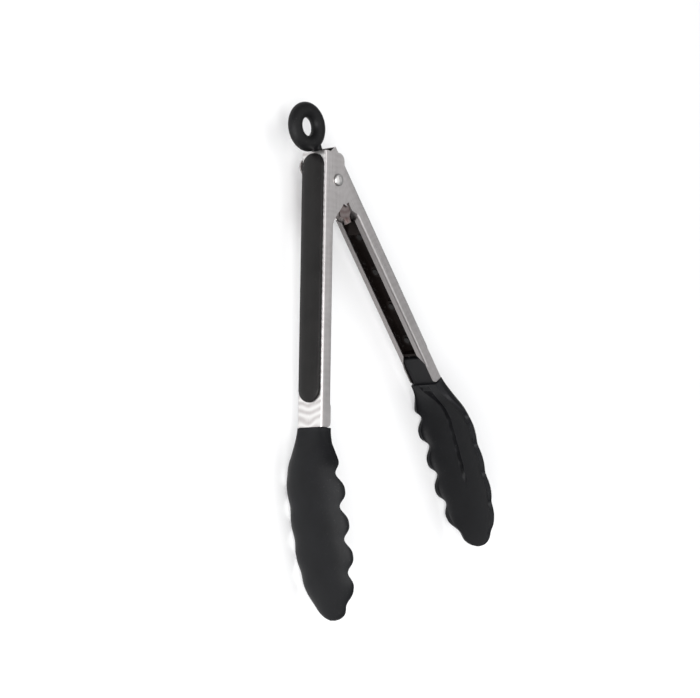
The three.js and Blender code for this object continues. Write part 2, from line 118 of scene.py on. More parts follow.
HEAD_LENGTH = 118.0
HEAD_HALF_WIDTH = 23.4
NECK_HALF_WIDTH = 11.2
FLARE_END = 0.28
TAPER_START = 0.57
TAPER_POWER = 2.6
RIM_LINE = (-3.3, -5.9, -2.2, 2.9, 8.4, 13.6)
DEPTH_LINE = (9.5, 10.6, 10.1, 9.1, 7.4, 3.2)
NECK_SQUARENESS = 0.3
NECK_ROUND_END = 0.2
NECK_FLOOR = 0.2
NECK_END = 0.3
NECK_RIM = 1.2
WALL = 3.2
RIM_THICKNESS = 2.8
SCALLOP_FIRST = 184.0
SCALLOP_PITCH = 19.9
SCALLOP_COUNT = 5
SCALLOP_TRIM = 21.0
SCALLOP_POINT = 1.4
SCALLOP_PINCH = 0.05
CREASE_DEPTH = 2.5
CREASE_SPREAD = 0.07
CREASE_START = 0.05
CREASE_FADE = 0.56
CREASE_FADE_LENGTH = 0.12
RIM_ROUND = 0.55
HEAD_RINGS = 150
HEAD_SIDES = 128
RING_CROWDING = 0.35
CENTRE_CROWDING = 1.5

SHANK_RADIUS = 2.4
RIVET_HEAD_RADIUS = 3.9
RIVET_HEAD_HEIGHT = 1.25
RIVET_HEAD_EDGE = 1.15
RIVET_DOME = ((0.8, 0.24), (0.8, 0.1))
RIVET_SEAT = 10.85

WIRE_RADIUS = 0.8
COIL_RADIUS = 5.05
COIL_TURNS = 5
COIL_HALF_LENGTH = 5.6
SPRING_LEG = 26.0
SPRING_LEG_ROOM = 0.6
WIRE_SIDES = 14
STEPS_PER_TURN = 24

RING_RADIUS = 10.65
RING_HALF_BAND = 4.95
RING_HALF_THICKNESS = 4.1
RING_CENTRE = (-2.2, 36.9, 0.0)
POST_LOW = (-0.9, 11.0, -3.4)
POST_HIGH = (2.5, 28.0, 3.4)
POST_EDGE = 0.9

# --- studio, in metres --------------------------------------------------------------------
FLOOR_HEIGHT = -0.001
FLOOR_SIZE = 8.0

# --- frames -------------------------------------------------------------------------------
PIN = Vector(frame["joints"][0]["pos_m"])
HALF_OPEN = math.radians(OPEN_ANGLE / 2)
TO_METRES = Matrix.Scale(MM, 4)
ARM_OFFSET = Matrix.Translation((0, 0, STAGGER))
ON_PIN = Matrix.Translation(PIN) @ TO_METRES
ON_FRONT_ARM = ON_PIN @ Matrix.Rotation(-HALF_OPEN, 4, "Z") @ ARM_OFFSET
ON_REAR_ARM = ON_PIN @ Matrix.Rotation(HALF_OPEN, 4, "Z") @ Matrix.Rotation(math.pi, 4, "Y") @ ARM_OFFSET
ON_LOCK = ON_PIN @ Matrix.Rotation(math.radians(LOCK_LEAN) - HALF_OPEN, 4, "Z")
ARMS = {"front": ON_FRONT_ARM, "rear": ON_REAR_ARM}

# --- camera -------------------------------------------------------------------------------
VIEW_SIDE = math.radians(48.807)
VIEW_LIFT = math.radians(-6.482)
VIEW_ROLL = math.radians(0.848)
VIEW_DISTANCE = 1.4564
VIEW_SLIDE = (0.01521, -0.1047)
LENS = 119.62
SENSOR_WIDTH = 36.0
FAR_CLIP = 20.0


def place_camera():
    """The camera looks at the front arm from the side and slightly below the heads' line."""
    turn = Matrix.Rotation(-HALF_OPEN, 3, "Z")
    back = turn @ Vector((
        -math.sin(VIEW_SIDE) * math.cos(VIEW_LIFT),
        math.sin(VIEW_LIFT),
        math.cos(VIEW_SIDE) * math.cos(VIEW_LIFT),
    ))
    arm_line = turn @ Vector((0, 1, 0))
    right = arm_line.cross(back).normalized()
    up = back.cross(right)
    rolled_right = right * math.cos(VIEW_ROLL) + up * math.sin(VIEW_ROLL)
    rolled_up = up * math.cos(VIEW_ROLL) - right * math.sin(VIEW_ROLL)
    place = PIN + back * VIEW_DISTANCE + rolled_right * VIEW_SLIDE[0] + rolled_up * VIEW_SLIDE[1]
    bpy.ops.object.camera_add(location=place)
    camera = bpy.context.active_object
    camera.name = "Studio camera"
    axes = Matrix((rolled_right, rolled_up, back)).transposed()
    camera.rotation_euler = axes.to_euler()
    camera.data.lens = LENS
    camera.data.sensor_width = SENSOR_WIDTH
    camera.data.clip_end = FAR_CLIP
    bpy.context.scene.camera = camera


place_camera()


# --- modelling helpers --------------------------------------------------------------------
def deselect():
    bpy.ops.object.select_all(action="DESELECT")


def only(piece):
    """Makes one object the selected and active one."""
    deselect()
    piece.select_set(True)
    bpy.context.view_layer.objects.active = piece


def settle_here():
    """Puts the new object's place and size into its mesh."""
    bpy.ops.object.transform_apply(location=True, rotation=True, scale=True)
    return bpy.context.active_object


def block(name, low, high):
    deselect()
    low, high = Vector(low), Vector(high)
    bpy.ops.mesh.primitive_cube_add(size=1, location=(low + high) / 2, scale=high - low)
    piece = settle_here()
    piece.name = name
    return piece


def bar(name, centre, radius, length, axis="Z", sides=48):
    deselect()
    turns = {"X": (0, math.pi / 2, 0), "Y": (math.pi / 2, 0, 0), "Z": (0, 0, 0)}
    bpy.ops.mesh.primitive_cylinder_add(
        vertices=sides, radius=radius, depth=length, location=centre, rotation=turns[axis])
    piece = settle_here()
    piece.name = name
    return piece


def edit(piece):
    only(piece)
    bpy.ops.object.mode_set(mode="EDIT")


def leave_edit():
    bpy.ops.object.mode_set(mode="OBJECT")


def middle(item):
    if isinstance(item, bmesh.types.BMVert):
        return item.co
    return sum((v.co for v in item.verts), Vector()) / len(item.verts)


def choose(kind, test):
    """Selects the vertices, edges or faces being edited that pass a test on middle and item."""
    bpy.ops.mesh.select_mode(type=kind)
    bpy.ops.mesh.select_all(action="DESELECT")
    mesh = bpy.context.edit_object.data
    bm = bmesh.from_edit_mesh(mesh)
    items = {"VERT": bm.verts, "EDGE": bm.edges, "FACE": bm.faces}[kind]
    for item in items:
        if test(middle(item), item):
            item.select_set(True)
    bm.select_flush_mode()
    bmesh.update_edit_mesh(mesh)


def near(value, target, reach=0.01):
    return abs(value - target) < reach


def slide(offset):
    bpy.ops.mesh.extrude_region_move(TRANSFORM_OT_translate={"value": offset})


def cut(place, normal, keep_inner=False, fill=False):
    """Bisects the selected faces; with keep_inner, what the normal points at is removed."""
    bpy.ops.mesh.bisect(
        plane_co=place, plane_no=Vector(normal).normalized(), use_fill=fill, clear_outer=keep_inner)


def round_off(offset, segments, affect="EDGES"):
    bpy.ops.mesh.bevel(
        offset=offset, offset_type="OFFSET", segments=segments, profile=0.5, affect=affect)


def apply_modifier(piece, kind, **values):
    only(piece)
    modifier = piece.modifiers.new(kind.title(), kind)
    for key, value in values.items():
        setattr(modifier, key, value)
    bpy.ops.object.modifier_apply(modifier=modifier.name)


def combine(piece, other, how):
    """Joins or cuts with another closed shape, which is used up."""
    apply_modifier(piece, "BOOLEAN", object=other, operation=how, solver="EXACT")
    bpy.data.objects.remove(other)


def soften(piece, width, segments=2, angle=35):
    apply_modifier(
        piece, "BEVEL", width=width, segments=segments, limit_method="ANGLE",
        angle_limit=math.radians(angle), use_clamp_overlap=True)


def shade(piece, angle=30):
    """Shades smooth up to an angle, with flat faces kept flat."""
    only(piece)
    bpy.ops.object.shade_smooth_by_angle(angle=math.radians(angle))
    apply_modifier(piece, "WEIGHTED_NORMAL", keep_sharp=True)


def copy_of(piece, name):
    """A copy with a mesh of its own."""
    only(piece)
    bpy.ops.object.duplicate(linked=False)
    twin = bpy.context.active_object
    twin.name = name
    return twin


def lay(piece, place):
    """Lays a piece, drawn in millimetres, at its place in metres."""
    only(piece)
    piece.matrix_world = place
    settle_here()
    piece.data.name = piece.name
    return piece


# --- the makers ---------------------------------------------------------------------------
def make_channel():
    """A stamped channel: web, two flanges with hinge ears, and folded lips."""
    wide = CHANNEL_HALF_WIDTH
    piece = block("channel", (WEB, CHANNEL_END, -wide), (FLANGE_EDGE, ARM_TOP, wide))
    edit(piece)
    choose("FACE", lambda m, f: f.normal.x > 0.5 or abs(f.normal.y) > 0.5)
    bpy.ops.mesh.delete(type="FACE")
    for level in (EAR_ROOT, LIP_TOP, LIP_END):
        choose("FACE", lambda m, f: True)
        cut((0, level, 0), (0, 1, 0))

    def free_edge(m, e):
        return near(m.x, FLANGE_EDGE) and near(abs(m.z), wide) and len(e.link_faces) == 1

    choose("EDGE", lambda m, e: free_edge(m, e) and m.y > EAR_ROOT)
    slide((EAR_EDGE - FLANGE_EDGE, 0, 0))
    for side, corner in ((1, OUTER_EAR_CORNER), (-1, INNER_EAR_CORNER)):
        choose("FACE", lambda m, f: m.x > FLANGE_EDGE and m.z * side > 0)
        run = Vector((EAR_EDGE - FLANGE_EDGE, corner - EAR_ROOT, 0))
        cut((FLANGE_EDGE, EAR_ROOT, 0), (run.y, -run.x, 0), keep_inner=True)
    choose("FACE", lambda m, f: m.x > FLANGE_EDGE and m.z < 0)
    stop, top = Vector((*INNER_EAR_STOP, 0)), Vector((*INNER_EAR_TOP, 0))
    run = top - stop
    cut(stop, (run.y, -run.x, 0), keep_inner=True)

    for side in (1, -1):
        choose("EDGE", lambda m, e: free_edge(m, e) and m.z * side > 0 and LIP_END < m.y < LIP_TOP)
        slide((0, 0, -side * LIP_WIDTH))
        ends = ((LIP_TOP, -LIP_TOP_SLANT, 1), (LIP_END, LIP_END_SLANT, -1))
        for level, slant, way in ends:
            choose("FACE", lambda m, f: near(m.x, FLANGE_EDGE) and m.z * side > 0
                   and abs(f.normal.x) > 0.9)
            cut((FLANGE_EDGE, level, side * wide), (0, way * LIP_WIDTH, way * slant * side),
                keep_inner=True)

    def corner_at(x, y, side):
        return lambda m, v: near(m.x, x) and near(m.y, y) and m.z * side > 0

    choose("VERT", corner_at(EAR_EDGE, ARM_TOP, 1))
    round_off(EAR_TOP_CORNER, 6, "VERTICES")
    for y, side in ((OUTER_EAR_CORNER, 1), (INNER_EAR_CORNER, -1)):
        choose("VERT", corner_at(EAR_EDGE, y, side))
        round_off(EAR_LOWER_CORNER, 4, "VERTICES")
    for side in (1, -1):
        choose("VERT", corner_at(FLANGE_EDGE, CHANNEL_END, side))
        round_off(CHANNEL_END_CORNER, 4, "VERTICES")

    def along_arm(e):
        run = e.verts[0].co - e.verts[1].co
        return abs(run.y) > 0.9 * run.length

    choose("EDGE", lambda m, e: near(m.x, WEB) and near(abs(m.z), wide) and along_arm(e))
    round_off(WEB_BEND, 4)
    choose("EDGE", lambda m, e: near(m.x, FLANGE_EDGE) and near(abs(m.z), wide)
           and along_arm(e) and len(e.link_faces) == 2 and LIP_END < m.y < LIP_TOP)
    round_off(LIP_BEND, 4)
    leave_edit()
    apply_modifier(piece, "SOLIDIFY", thickness=SHEET, offset=-1, use_even_offset=True)
    across = 2.4 * CHANNEL_HALF_WIDTH
    combine(piece, bar("rivet_hole", (0, 0, 0), SHANK_RADIUS + CLEARANCE, across), "DIFFERENCE")
    combine(piece, block("lock_notch", *NOTCH), "DIFFERENCE")
    soften(piece, EDGE_BREAK)
    shade(piece)
    return piece


def make_pad():
    """The soft grip: a crowned bar with round ends, with studs that reach through the web."""
    heart = PAD_END + PAD_HALF_WIDTH
    piece = bar(
        "grip_pad", (PAD_BACK - PAD_THICKNESS / 2, heart, 0), PAD_HALF_WIDTH, PAD_THICKNESS, "X", 64)
    edit(piece)
    choose("VERT", lambda m, v: m.y > heart - 0.01)
    bpy.ops.transform.translate(value=(0, PAD_TOP - PAD_HALF_WIDTH - heart, 0))
    choose("FACE", lambda m, f: f.normal.x < -0.9)
    bpy.ops.mesh.region_to_loop()
    round_off(PAD_EDGE, 5)
    choose("FACE", lambda m, f: f.normal.x < -0.99)
    for inset, rise in PAD_CROWN:
        bpy.ops.mesh.inset(thickness=inset)
        bpy.ops.transform.translate(value=(-rise, 0, 0))
    leave_edit()
    for y in STUD_DROPS:
        combine(piece, bar("stud", (STUD_MIDDLE, y, 0), STUD_RADIUS, STUD_LENGTH, "X", 24), "UNION")
    shade(piece, 40)
    return piece


def make_carrier():
    """The hard tray inside the channel, with a sloped end and a boss round each stud."""
    piece = block("grip_carrier", CARRIER_LOW, CARRIER_HIGH)
    edit(piece)
    choose("FACE", lambda m, f: True)
    cut(CARRIER_SLOPE_FOOT, CARRIER_SLOPE_NORMAL, keep_inner=True, fill=True)
    choose("FACE", lambda m, f: f.normal.x > 0.98)
    bpy.ops.mesh.inset(thickness=CARRIER_WALL)
    slide((-CARRIER_DEPTH, 0, 0))
    leave_edit()
    for y in STUD_DROPS:
        place = (BOSS_MIDDLE, y, 0)
        combine(piece, bar("boss", place, BOSS_RADIUS, BOSS_HEIGHT, "X", 32), "UNION")
        hole = bar("stud_hole", place, STUD_RADIUS + CLEARANCE, 2 * BOSS_HEIGHT, "X", 24)
        combine(piece, hole, "DIFFERENCE")
    soften(piece, CARRIER_EDGE)
    shade(piece)
    return piece


def make_tang():
    """The root of the head's hard core, which enters the channel's lower end."""
    piece = block("head_core", TANG_LOW, TANG_HIGH)
    edit(piece)
    choose("FACE", lambda m, f: f.normal.y > 0.9)
    bpy.ops.mesh.inset(thickness=TANG_TIP[0])
    bpy.ops.transform.translate(value=(0, TANG_TIP[1], 0))
    choose("FACE", lambda m, f: f.normal.x > 0.9)
    bpy.ops.mesh.inset(thickness=TANG_DISH[0])
    bpy.ops.transform.translate(value=(-TANG_DISH[1], 0, 0))
    leave_edit()
    soften(piece, TANG_EDGE, 3, 25)
    shade(piece, 35)
    return piece


def smoothstep(t):
    t = min(max(t, 0.0), 1.0)
    return t * t * (3 - 2 * t)


def mix(a, b, t):
    return a + (b - a) * t


def through(stations, s):
    """A smooth curve through evenly spaced stations along the head."""
    last = len(stations) - 1
    spot = min(max(s, 0.0), 1.0) * last
    i = min(int(spot), last - 1)
    t = spot - i
    p0 = stations[max(i - 1, 0)]
    p1, p2 = stations[i], stations[i + 1]
    p3 = stations[min(i + 2, last)]
    v0, v1 = (p2 - p0) / 2, (p3 - p1) / 2
    return ((2 * p1 - 2 * p2 + v0 + v1) * t ** 3
            + (-3 * p1 + 3 * p2 - 2 * v0 - v1) * t ** 2 + v0 * t + p1)


def scallop_depth(s):
    """How deep the rim is notched: 1 at the points between the scallops, 0 at their tops."""
    step = (HEAD_LENGTH * s - CHANNEL_END - SCALLOP_FIRST) / SCALLOP_PITCH
    if not -0.5 < step < SCALLOP_COUNT - 0.5:
        return 0.0
    return (0.5 + 0.5 * math.cos(2 * math.pi * step)) ** SCALLOP_POINT


def head_width(s):
    flare = smoothstep(s / FLARE_END)
    taper = min(max((s - TAPER_START) / (1 - TAPER_START), 0), 0.999)
    width = mix(NECK_HALF_WIDTH, HEAD_HALF_WIDTH, flare)
    return width * math.sqrt(1 - taper ** TAPER_POWER) * (1 - SCALLOP_PINCH * scallop_depth(s))


def rim_angle(s):
    """How far round its wall the rim reaches, in degrees from the back."""
    return 90.0 - SCALLOP_TRIM * scallop_depth(s)


def trough_point(s, angle, inset_depth, inset_width):
    squareness = mix(NECK_SQUARENESS, 1, smoothstep(s / NECK_ROUND_END))
    cos = abs(math.cos(angle)) ** squareness
    sin = math.copysign(abs(math.sin(angle)) ** squareness, angle)
    width = max(head_width(s) - inset_width, 0.4)
    return through(RIM_LINE, s) - (through(DEPTH_LINE, s) - inset_depth) * cos, width * sin


def crease_depth(s, angle):
    """The fold line down the middle of the trough, deepest near the neck."""
    fade = smoothstep(s / CREASE_START) * (1 - smoothstep((s - CREASE_FADE) / CREASE_FADE_LENGTH))
    return CREASE_DEPTH * fade * max(0.0, 1 - abs(angle) / CREASE_SPREAD) ** 0.7


def head_section(s, part):
    """Walks once round the head's section, over the inner skin and back over the outer one."""
    limit = math.radians(rim_angle(s))
    growth = smoothstep(s / NECK_END)
    if part <= 0.5:
        way = 1 - 4 * part
        angle = limit * math.copysign(abs(way) ** CENTRE_CROWDING, way)
        wall = mix(through(DEPTH_LINE, 0) - NECK_FLOOR, WALL, growth)
        rim = mix(NECK_RIM, RIM_THICKNESS, growth)
        return trough_point(s, angle, wall - crease_depth(s, angle), rim)
    return trough_point(s, limit * (4 * part - 3), 0, 0)


def make_sleeve():
    """The silicone scoop: a tube of rings, each laid on the section at its place."""
    deselect()
    bpy.ops.mesh.primitive_cylinder_add(
        vertices=HEAD_SIDES, radius=1, depth=2, end_fill_type="TRIFAN")
    piece = bpy.context.active_object
    piece.name = "head_sleeve"
    edit(piece)
    choose("EDGE", lambda m, e: near(m.z, 0))
    bpy.ops.mesh.subdivide(number_cuts=HEAD_RINGS - 1)
    mesh = piece.data
    bm = bmesh.from_edit_mesh(mesh)
    start = CLEARANCE / HEAD_LENGTH
    for v in bm.verts:
        t = (1 - v.co.z) / 2
        s = mix(start, 1, t * (1 + RING_CROWDING * (1 - t)))
        if math.hypot(v.co.x, v.co.y) < 0.5:
            inner, outer = head_section(s, 0.25), head_section(s, 0.75)
            inward, across = (inner[0] + outer[0]) / 2, (inner[1] + outer[1]) / 2
        else:
            turn = round(math.atan2(v.co.x, v.co.y) / (2 * math.pi) * HEAD_SIDES) % HEAD_SIDES
            inward, across = head_section(s, turn / HEAD_SIDES)
        v.co = (inward, CHANNEL_END - HEAD_LENGTH * s, across)
    bmesh.update_edit_mesh(mesh)
    bpy.ops.mesh.select_all(action="SELECT")
    bpy.ops.mesh.normals_make_consistent(inside=False)
    leave_edit()
    soften(piece, RIM_ROUND, 3, 42)
    shade(piece, 45)
    return piece


def make_rivet():
    """A straight shank with a domed head on each side."""
    piece = bar("hinge_rivet_shaped", (0, 0, 0), SHANK_RADIUS, 2 * RIVET_SEAT, sides=64)
    spread = RIVET_HEAD_RADIUS / SHANK_RADIUS
    edit(piece)
    for side in (1, -1):
        choose("FACE", lambda m, f: f.normal.z * side > 0.9 and near(m.z, side * RIVET_SEAT))
        bpy.ops.mesh.extrude_region_move()
        bpy.ops.transform.resize(
            value=(spread, spread, 1), center_override=(0, 0, side * RIVET_SEAT))
        slide((0, 0, side * RIVET_HEAD_HEIGHT))
        crown = side * (RIVET_SEAT + RIVET_HEAD_HEIGHT)
        choose("EDGE", lambda m, e: near(m.z, crown))
        round_off(RIVET_HEAD_EDGE, 6)
        choose("FACE", lambda m, f: near(m.z, crown) and len(f.verts) > 4)
        for inset, rise in RIVET_DOME:
            bpy.ops.mesh.inset(thickness=inset)
            bpy.ops.transform.translate(value=(0, 0, side * rise))
    leave_edit()
    shade(piece, 40)
    return piece


def make_spring():
    """The coil as a screwed circle of wire, with a straight leg from each end."""
    wall_gap = -WEB - SHEET - WIRE_RADIUS - SPRING_LEG_ROOM - COIL_RADIUS
    splay = HALF_OPEN + math.asin(wall_gap / SPRING_LEG)
    sweep = (2 * COIL_TURNS + 1) * math.pi - 2 * splay

    def on_coil(turn, height):
        return Vector((COIL_RADIUS * math.cos(turn), COIL_RADIUS * math.sin(turn), height))

    deselect()
    bpy.ops.mesh.primitive_circle_add(
        vertices=WIRE_SIDES, radius=WIRE_RADIUS, location=on_coil(splay, -COIL_HALF_LENGTH),
        rotation=(math.pi / 2, 0, splay))
    piece = settle_here()
    piece.name = "torsion_spring_shaped"
    steps = STEPS_PER_TURN * COIL_TURNS
    apply_modifier(
        piece, "SCREW", angle=sweep, screw_offset=2 * COIL_HALF_LENGTH, axis="Z",
        steps=steps, render_steps=steps, use_normal_calculate=True)
    edit(piece)
    for turn, way in ((splay, -1), (splay + sweep, 1)):
        end = on_coil(turn, way * COIL_HALF_LENGTH)
        run = Vector((-math.sin(turn), math.cos(turn), 0)) * way * SPRING_LEG
        choose("EDGE", lambda m, e: len(e.link_faces) == 1 and (m - end).length < 2 * WIRE_RADIUS)
        slide(run)
        bpy.ops.mesh.edge_face_add()
    bpy.ops.mesh.select_all(action="SELECT")
    bpy.ops.mesh.normals_make_consistent(inside=False)
    leave_edit()
    shade(piece, 50)
    return piece


def make_ring():
    """The moulded ring on its flat post."""
    deselect()
    bpy.ops.mesh.primitive_torus_add(
        major_radius=RING_RADIUS, minor_radius=RING_HALF_BAND, major_segments=96,
        minor_segments=32)
    piece = bpy.context.active_object
    piece.name = "pull_ring_shaped"
    edit(piece)
    bpy.ops.mesh.select_all(action="SELECT")
    bpy.ops.transform.resize(value=(1, 1, RING_HALF_THICKNESS / RING_HALF_BAND))
    bpy.ops.transform.translate(value=RING_CENTRE)
    leave_edit()
    post = block("post", POST_LOW, POST_HIGH)
    soften(post, POST_EDGE, 4)
    combine(piece, post, "UNION")
    shade(piece, 50)
    return piece


# --- materials ----------------------------------------------------------------------------
STEEL_DARK = (0.40, 0.38, 0.376)
STEEL_LIGHT = (0.57, 0.545, 0.54)
LIGHT_BAND_STEEL = (0.72, 0.71, 0.70)
# Painted shade: a dark steel colour, and how much of it goes on a channel's inward faces.
INSIDE_SHADE_STEEL = (0.20, 0.185, 0.182)
INSIDE_SHADE_SHARE = 0.75
EDGE_SHINE = 1.08
SCRATCH_STRENGTH = 0.03
SCRATCH_DEPTH = 0.00005
SMALL_PIECE_GRAIN = (300.0, 600.0)
PEBBLE_STRENGTH = 0.12
PEBBLE_HEIGHT = 0.0002
WORN_SHARE = 0.25
WORN_LIFT = 3.0
DUST_GREY = (0.09, 0.09, 0.09)


class Nodes:
    """Adds and links the nodes of one tree."""

    def __init__(self, tree):
        self.tree = tree

    def add(self, kind, **values):
        node = self.tree.nodes.new(kind)
        for key, value in values.items():
            if hasattr(node, key):
                setattr(node, key, value)
            else:
                node.inputs[key.replace("_", " ").title()].default_value = value
        return node

    def link(self, source, target):
        self.tree.links.new(source, target)


def new_group(name, inputs, outputs):
    """A shader node group with its named sockets: name, kind, value for an input."""
    tree = bpy.data.node_groups.new(name, "ShaderNodeTree")
    for label, kind, value in inputs:
        socket = tree.interface.new_socket(label, in_out="INPUT", socket_type=kind)
        if value is not None:
            socket.default_value = value
    for label, kind in outputs:
        tree.interface.new_socket(label, in_out="OUTPUT", socket_type=kind)
    nodes = Nodes(tree)
    return nodes, nodes.add("NodeGroupInput"), nodes.add("NodeGroupOutput")


def map_range(nodes, source, low, high, to_low, to_high):
    node = nodes.add("ShaderNodeMapRange")
    node.inputs["From Min"].default_value = low
    node.inputs["From Max"].default_value = high
    for label, value in (("To Min", to_low), ("To Max", to_high)):
        if isinstance(value, (int, float)):
            node.inputs[label].default_value = value
        else:
            nodes.link(value, node.inputs[label])
    nodes.link(source, node.inputs["Value"])
    return node.outputs["Result"]


def math_node(nodes, operation, one, two):
    node = nodes.add("ShaderNodeMath", operation=operation)
    for socket, value in zip(node.inputs, (one, two)):
        if isinstance(value, (int, float)):
            socket.default_value = value
        else:
            nodes.link(value, socket)
    return node.outputs[0]


def build_brushed_grain():
    """Long fine scratches along y, a broad unevenness, and faint waves across."""
    nodes, inside, outside = new_group(
        "Brushed grain",
        [("Vector", "NodeSocketVector", None), ("Length", "NodeSocketFloat", 30.0),
         ("Fineness", "NodeSocketFloat", 1400.0)],
        [("Scratches", "NodeSocketFloat"), ("Patches", "NodeSocketFloat"), ("Waves", "NodeSocketFloat")])
    stretch = nodes.add("ShaderNodeCombineXYZ")
    nodes.link(inside.outputs["Fineness"], stretch.inputs["X"])
    nodes.link(inside.outputs["Length"], stretch.inputs["Y"])
    nodes.link(inside.outputs["Fineness"], stretch.inputs["Z"])
    scaled = nodes.add("ShaderNodeVectorMath", operation="MULTIPLY")
    nodes.link(inside.outputs["Vector"], scaled.inputs[0])
    nodes.link(stretch.outputs[0], scaled.inputs[1])
    fine = nodes.add("ShaderNodeTexNoise", scale=1.0, detail=4.0, roughness=0.65)
    nodes.link(scaled.outputs[0], fine.inputs["Vector"])
    nodes.link(fine.outputs["Fac"], outside.inputs["Scratches"])
    broad = nodes.add("ShaderNodeTexNoise", scale=38.0, detail=3.0, roughness=0.5)
    nodes.link(inside.outputs["Vector"], broad.inputs["Vector"])
    nodes.link(broad.outputs["Fac"], outside.inputs["Patches"])
    wave = nodes.add(
        "ShaderNodeTexWave", wave_type="BANDS", bands_direction="Y", scale=70.0, distortion=9.0, detail=1.0)
    wave.inputs["Detail Scale"].default_value = 0.9
    nodes.link(inside.outputs["Vector"], wave.inputs["Vector"])
    nodes.link(wave.outputs["Fac"], outside.inputs["Waves"])
    return nodes.tree


def build_edge_wear():
    """A mask that is 1 on convex edges and 0 on flats, broken up by a noise."""
    nodes, inside, outside = new_group(
        "Edge wear",
        [("Vector", "NodeSocketVector", None), ("Breakup", "NodeSocketFloat", 400.0)],
        [("Mask", "NodeSocketFloat")])
    geometry = nodes.add("ShaderNodeNewGeometry")
    sharp = map_range(nodes, geometry.outputs["Pointiness"], 0.52, 0.60, 0.0, 1.0)
    noise = nodes.add("ShaderNodeTexNoise", detail=3.0)
    nodes.link(inside.outputs["Breakup"], noise.inputs["Scale"])
    nodes.link(inside.outputs["Vector"], noise.inputs["Vector"])
    broken = map_range(nodes, noise.outputs["Fac"], 0.35, 0.65, 0.3, 1.0)
    nodes.link(math_node(nodes, "MULTIPLY", sharp, broken), outside.inputs["Mask"])
    return nodes.tree


def build_channel_faces():
    """Masks for a channel: its flat outer web, and the faces that look inward, where painted shade goes."""
    nodes, inside, outside = new_group(
        "Channel faces",
        [("Vector", "NodeSocketVector", None), ("Inward", "NodeSocketFloat", 1.0)],
        [("Web", "NodeSocketFloat"), ("Inside", "NodeSocketFloat")])
    split = nodes.add("ShaderNodeSeparateXYZ")
    nodes.link(inside.outputs["Vector"], split.inputs[0])
    facing = math_node(nodes, "MULTIPLY", split.outputs["X"], inside.outputs["Inward"])
    nodes.link(map_range(nodes, facing, -0.85, -0.98, 0.0, 1.0), outside.inputs["Web"])
    nodes.link(map_range(nodes, facing, 0.45, 0.9, 0.0, 1.0), outside.inputs["Inside"])
    return nodes.tree


def build_moulded_skin():
    """The skin of moulded rubber or plastic: a fine pebble, a soft mottle and a little dust."""
    nodes, inside, outside = new_group(
        "Moulded skin",
        [("Vector", "NodeSocketVector", None), ("Pebble", "NodeSocketFloat", 2200.0),
         ("Mottle", "NodeSocketFloat", 55.0)],
        [("Height", "NodeSocketFloat"), ("Mottle", "NodeSocketFloat"), ("Dust", "NodeSocketFloat")])
    pebble = nodes.add("ShaderNodeTexNoise", detail=2.0, roughness=0.6)
    nodes.link(inside.outputs["Vector"], pebble.inputs["Vector"])
    nodes.link(inside.outputs["Pebble"], pebble.inputs["Scale"])
    nodes.link(pebble.outputs["Fac"], outside.inputs["Height"])
    mottle = nodes.add("ShaderNodeTexNoise", detail=4.0, roughness=0.55)
    nodes.link(inside.outputs["Vector"], mottle.inputs["Vector"])
    nodes.link(inside.outputs["Mottle"], mottle.inputs["Scale"])
    nodes.link(mottle.outputs["Fac"], outside.inputs["Mottle"])
    specks = nodes.add("ShaderNodeTexNoise", scale=900.0, detail=1.0)
    nodes.link(inside.outputs["Vector"], specks.inputs["Vector"])
    grains = map_range(nodes, specks.outputs["Fac"], 0.66, 0.74, 0.0, 1.0)
    geometry = nodes.add("ShaderNodeNewGeometry")
    split = nodes.add("ShaderNodeSeparateXYZ")
    nodes.link(geometry.outputs["Normal"], split.inputs[0])
    upward = map_range(nodes, split.outputs["Z"], 0.0, 1.0, 0.1, 1.0)
    nodes.link(math_node(nodes, "MULTIPLY", grains, upward), outside.inputs["Dust"])
    return nodes.tree


BRUSHED_GRAIN = build_brushed_grain()
EDGE_WEAR = build_edge_wear()
CHANNEL_FACES = build_channel_faces()
MOULDED_SKIN = build_moulded_skin()


def new_material(name):
    material = bpy.data.materials.new(name)
    material.use_nodes = True
    nodes = Nodes(material.node_tree)
    return material, nodes, material.node_tree.nodes["Principled BSDF"]


def place_vector(nodes, turn=0.0, kind="Object"):
    """Object coordinates or normals, turned about z so that y runs along an arm."""
    coordinates = nodes.add("ShaderNodeTexCoord")
    mapping = nodes.add("ShaderNodeMapping")
    mapping.inputs["Rotation"].default_value = (0, 0, turn)
    nodes.link(coordinates.outputs[kind], mapping.inputs["Vector"])
    return mapping.outputs[0]


def use_group(nodes, tree, vector, **values):
    node = nodes.add("ShaderNodeGroup")
    node.node_tree = tree
    nodes.link(vector, node.inputs["Vector"])
    for key, value in values.items():
        node.inputs[key.title()].default_value = value
    return node


def blend_colours(nodes, factor, one, two):
    """Mixes two colours, each a value or a socket."""
    node = nodes.add("ShaderNodeMix", data_type="RGBA")
    nodes.link(factor, node.inputs["Factor"])
    for label, value in ((6, one), (7, two)):
        if isinstance(value, (tuple, list)):
            node.inputs[label].default_value = (*value, 1)
        else:
            nodes.link(value, node.inputs[label])
    return node.outputs[2]


def bump(nodes, shader, height, strength, distance):
    node = nodes.add("ShaderNodeBump", strength=strength, distance=distance)
    nodes.link(height, node.inputs["Height"])
    nodes.link(node.outputs["Normal"], shader.inputs["Normal"])


